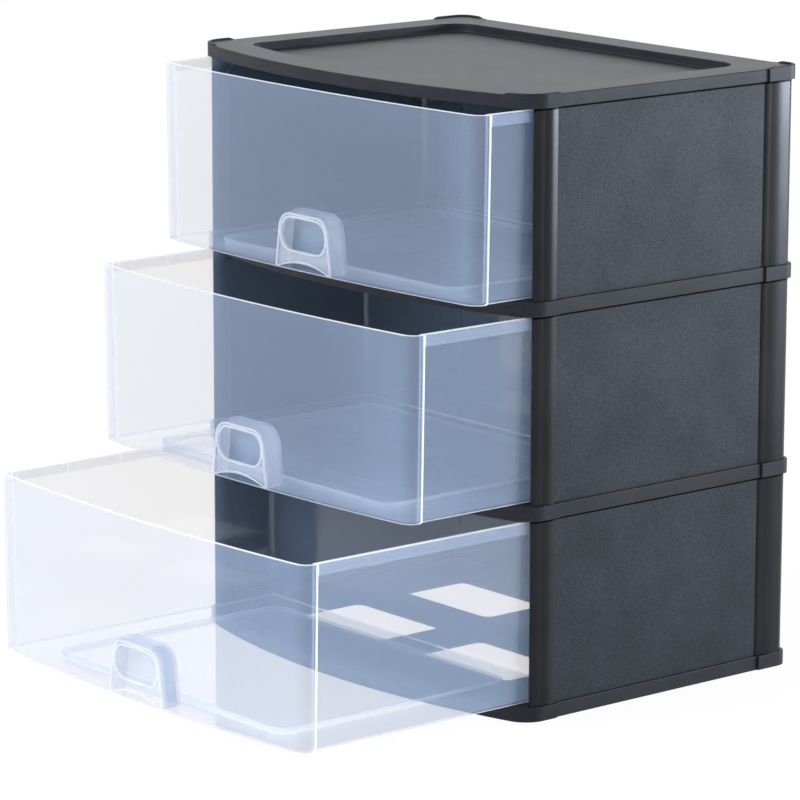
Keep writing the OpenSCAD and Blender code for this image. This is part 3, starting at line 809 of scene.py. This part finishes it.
def hazy_plastic(name, clear, haze, share, highlight_share):
    """Moulded polypropylene, clarified: it lets most light through, and crystals in its thickness
    scatter the rest, bluish where it lies over something dark. Walls this thin hardly bend what is
    seen through them, so the light goes straight on, with more of the red that the haze scatters
    least. At the edges that the highlight attribute marks, the haze is painted white and thicker: a
    painted highlight standing in for the light that a wall gathers and lets out there."""
    material, tree, output = new_material(name)
    painted_highlight = add(tree, "ShaderNodeAttribute", {"attribute_name": "painted_highlight"}).outputs["Fac"]
    facing_away = add(tree, "ShaderNodeLayerWeight", {}, Blend=0.5).outputs["Facing"]
    mirror = scaled(tree, calculated(tree, "POWER", facing_away, 5.0), *MIRRORED)
    passed = [c * (1 - HAZE_LOSS * share * h) / (1 - share) for c, h in zip(clear, haze)]
    through = add(tree, "ShaderNodeBsdfTransparent", {}, Color=(*passed, 1)).outputs[0]
    shine = add(tree, "ShaderNodeBsdfAnisotropic", {}, Roughness=0.06).outputs[0]
    # Painted highlight: where the attribute marks an edge, the haze turns white and its share rises
    # towards the highlight share
    tint = add(tree, "ShaderNodeMix", {"data_type": "RGBA"}, i0=painted_highlight, i6=(*haze, 1),
               i7=(1, 1, 1, 1)).outputs[2]
    reflected = add(tree, "ShaderNodeBsdfDiffuse", {}, Color=tint).outputs[0]
    let_through = add(tree, "ShaderNodeBsdfTranslucent", {}, Color=tint).outputs[0]
    wall = mixed(tree, mirror, through, shine)
    milk = mixed(tree, 0.5, reflected, let_through)
    haze_and_highlight_share = scaled(tree, painted_highlight, share, highlight_share)
    tree.links.new(mixed(tree, haze_and_highlight_share, wall, milk), output.inputs[0])
    return material


def use_material(nodes, material):
    """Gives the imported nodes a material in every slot."""
    for name in nodes:
        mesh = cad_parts[name].data
        mesh.materials.clear()
        mesh.materials.append(material)


# ---- properties ---------------------------------------------------------------------------


def colour_property(name, description, hex_colour):
    """A colour to choose in the panel."""
    return FloatVectorProperty(name=name, description=description, subtype="COLOR", size=3, min=0,
                               max=1, default=linear(hex_colour))


class TowerFinish(PropertyGroup):
    frame_colour: colour_property("Frame", "Colour of the shelves and the cover", "#1d1f24")
    panel_colour: colour_property("Panels", "Colour of the side and back panels", "#20252c")
    post_colour: colour_property("Posts", "Colour of the corner posts", "#0a0b0e")
    clear_colour: colour_property("Drawers", "Tint of the light that passes a drawer", "#fdfdfe")
    haze_colour: colour_property("Haze", "Colour of the haze in the drawers", "#b2d3ff")
    pull_colour: colour_property("Pulls", "Colour of the haze in the frosted pulls", "#dde6f5")


class TowerSizes(PropertyGroup):
    floor_size: FloatProperty(name="Floor", description="Width of the floor under the tower",
                              unit="LENGTH", default=12.0)


# ---- operators ----------------------------------------------------------------------------


class TOWER_OT_frame(Operator):
    """Makes the base, the two shelves and the top cover"""

    bl_idname = "tower.frame"
    bl_label = "Frame"

    def execute(self, context):
        finish = context.scene.tower_finish
        material = grained_plastic("charcoal_polypropylene", finish.frame_colour, grain_mm=0.8,
                                   depth=0.5, rough=0.45, fleck=0.3, shine=0.22)
        shelf = shelf_mesh()
        for i, node in enumerate(("base", "lower_shelf", "upper_shelf")):
            finished(node + "_moulding", shelf, material, CABINET, node,
                     (0, 0, i * PITCH))
        finished("cover_moulding", cover_mesh(), material, CABINET, "top_cover",
                 (0, 0, len(TIERS) * PITCH))
        return {"FINISHED"}


class TOWER_OT_walls(Operator):
    """Makes the posts and finishes the side panels and the back panels"""

    bl_idname = "tower.walls"
    bl_label = "Walls"

    def execute(self, context):
        finish = context.scene.tower_finish
        panel = grained_plastic("grained_polypropylene", finish.panel_colour, grain_mm=0.85,
                                depth=0.6, rough=0.5, fleck=0.35, shine=0.21)
        post = grained_plastic("satin_polypropylene", finish.post_colour, grain_mm=0.6,
                               depth=0.12, rough=0.26, fleck=0.1, shine=0.3)
        use_material([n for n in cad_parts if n.endswith("_panel")], panel)
        for side, way in SIDES:
            for kind, plan in (("front", front_post_plan()), ("rear", rear_post_plan())):
                mesh = post_mesh(plan, way)
                for i, tier in enumerate(TIERS):
                    node = f"{tier}_{side}_{kind}_post"
                    finished(node + "_moulding", mesh, post, CABINET, node,
                             (0, 0, i * PITCH), sharp=40)
        return {"FINISHED"}


def in_each_drawer(kind, mesh, material):
    """Puts a piece of that kind into each tier, where its drawer stands at rest."""
    for i, tier in enumerate(TIERS):
        finished(f"{tier}_{kind}_moulding", mesh, material, tier + "_drawer_unit",
                 f"{tier}_{kind}", (0, CLOSED_Y - OPENED[tier], i * PITCH))


class TOWER_OT_drawers(Operator):
    """Makes the clear drawers"""

    bl_idname = "tower.drawers"
    bl_label = "Drawers"

    def execute(self, context):
        finish = context.scene.tower_finish
        material = hazy_plastic("clarified_polypropylene", finish.clear_colour, finish.haze_colour,
                                share=0.15, highlight_share=0.8)
        in_each_drawer("drawer", drawer_mesh(), material)
        return {"FINISHED"}


class TOWER_OT_pulls(Operator):
    """Makes the frosted pulls"""

    bl_idname = "tower.pulls"
    bl_label = "Pulls"

    def execute(self, context):
        finish = context.scene.tower_finish
        material = hazy_plastic("frosted_polypropylene", finish.clear_colour, finish.pull_colour,
                                share=0.22, highlight_share=0.7)
        in_each_drawer("pull", pull_mesh(), material)
        return {"FINISHED"}


class TOWER_OT_stage(Operator):
    """Sets the floor, the light and the camera"""

    bl_idname = "tower.stage"
    bl_label = "Stage"

    def execute(self, context):
        set_floor(context.scene.tower_sizes.floor_size)
        set_light()
        set_camera()
        context.scene.view_settings.view_transform = "Standard"
        return {"FINISHED"}


# ---- stage ----------------------------------------------------------------------------------


def white_for_rays(tree, lit, share):
    """A shader that shows white to camera, glossy and transmitted rays by that share, and is
    lit for the rest and for all other rays."""
    rays = add(tree, "ShaderNodeLightPath").outputs
    seen = calculated(tree, "MAXIMUM", rays["Is Camera Ray"], rays["Is Glossy Ray"])
    seen = calculated(tree, "MAXIMUM", seen, rays["Is Transmission Ray"])
    in_world = lit.node.type == "BACKGROUND"
    white = add(tree, "ShaderNodeBackground" if in_world else "ShaderNodeEmission", {},
                Color=(1, 1, 1, 1), Strength=1.0).outputs[0]
    return mixed(tree, calculated(tree, "MULTIPLY", seen, share), lit, white)


def set_floor(size):
    """A square floor just under the tower, white but for a faint shadow."""
    mesh = bpy.data.meshes.new("floor")
    half = size / 2
    mesh.from_pydata([(a * half, b * half, -0.2 * MM) for a, b, t in CORNERS], [], [(0, 1, 2, 3)])
    floor = placed("floor", mesh)
    material, tree, output = new_material("white_paper")
    paper = add(tree, "ShaderNodeBsdfDiffuse", {}, Color=(*linear("#f4f4f4"), 1))
    tree.links.new(white_for_rays(tree, paper.outputs[0], 0.92), output.inputs[0])
    mesh.materials.append(material)


# The lamps: name, place and size in metres, and power in watts. The key stands to the front
# left. The rim stands behind the tower to the right, and its reflection draws the posts. The
# back lamp, behind to the left, gives the cover its sheen.
LAMPS = (
    ("key", (-0.6, -2.6, 2.0), (1.5, 1.5), 70),
    ("rim", (1.45, 2.2, 0.42), (1.2, 0.7), 70),
    ("back", (-2.4, 1.95, 1.1), (1.6, 1.2), 4),
)
LAMP_COLOUR = (0.86, 0.92, 1.0)


def set_light():
    """A white world and the lamps, each of which looks at the tower's foot."""
    world = bpy.data.worlds.new("studio")
    bpy.context.scene.world = world
    world.use_nodes = True
    tree = world.node_tree
    tree.nodes.clear()
    output = tree.nodes.new("ShaderNodeOutputWorld")
    fill = add(tree, "ShaderNodeBackground", {}, Color=(1, 1, 1, 1), Strength=1.0)
    tree.links.new(white_for_rays(tree, fill.outputs[0], 1.0), output.inputs[0])
    for name, place, size, power in LAMPS:
        data = bpy.data.lights.new(name, "AREA")
        data.shape = "RECTANGLE"
        data.size, data.size_y = size
        data.energy = power
        data.color = LAMP_COLOUR
        lamp = placed(name, data)
        lamp.location = place
        lamp.rotation_euler = (-lamp.location).to_track_quat("-Z", "Y").to_euler()


# The camera, solved from the photograph: it stands to the front right of the tower, a
# little above its top, and looks slightly down
CAMERA_PLACE = (2482.6, -2140.44, 891.59)
CAMERA_AZIMUTH = 50.47
CAMERA_ELEVATION = 12.06
CAMERA_ROLL = 0.12
FOCAL_PIXELS = 4355.29
IMAGE_PIXELS = 800
SENSOR = 36.0


def set_camera():
    """Puts the camera where the photograph was taken from."""
    az, el, roll = (math.radians(v) for v in (CAMERA_AZIMUTH, CAMERA_ELEVATION, CAMERA_ROLL))
    ahead = np.array([-math.sin(az) * math.cos(el), math.cos(az) * math.cos(el), -math.sin(el)])
    right = np.array([math.cos(az), math.sin(az), 0])
    up = np.cross(right, ahead)
    turned_right = math.cos(roll) * right + math.sin(roll) * up
    turned_up = math.cos(roll) * up - math.sin(roll) * right
    data = bpy.data.cameras.new("camera")
    data.sensor_width = SENSOR
    data.lens = FOCAL_PIXELS / IMAGE_PIXELS * SENSOR
    data.clip_end = 50
    camera = placed("camera", data)
    axes = Matrix(np.column_stack([turned_right, turned_up, -ahead]).tolist()).to_4x4()
    camera.matrix_world = Matrix.Translation([v * MM for v in CAMERA_PLACE]) @ axes
    bpy.context.scene.camera = camera


# ---- add-on ------------------------------------------------------------------------


STEPS = (TOWER_OT_frame, TOWER_OT_walls, TOWER_OT_drawers, TOWER_OT_pulls, TOWER_OT_stage)


class TOWER_PT_panel(Panel):
    bl_label = "Drawer Tower"
    bl_idname = "TOWER_PT_panel"
    bl_space_type = "VIEW_3D"
    bl_region_type = "UI"
    bl_category = "Drawer Tower"

    def draw(self, context):
        for group in (context.scene.tower_finish, context.scene.tower_sizes):
            for name in group.bl_rna.properties.keys():
                if name not in ("rna_type", "name"):
                    self.layout.prop(group, name)
        for step in STEPS:
            self.layout.operator(step.bl_idname)


CLASSES = (TowerFinish, TowerSizes, *STEPS, TOWER_PT_panel)


def register():
    for cls in CLASSES:
        bpy.utils.register_class(cls)
    bpy.types.Scene.tower_finish = PointerProperty(type=TowerFinish)
    bpy.types.Scene.tower_sizes = PointerProperty(type=TowerSizes)


def unregister():
    del bpy.types.Scene.tower_sizes
    del bpy.types.Scene.tower_finish
    for cls in reversed(CLASSES):
        bpy.utils.unregister_class(cls)


def main():
    """Makes the whole scene."""
    register()
    for step in STEPS:
        group, name = step.bl_idname.split(".")
        getattr(getattr(bpy.ops, group), name)()


if __name__ == "__main__":
    main()
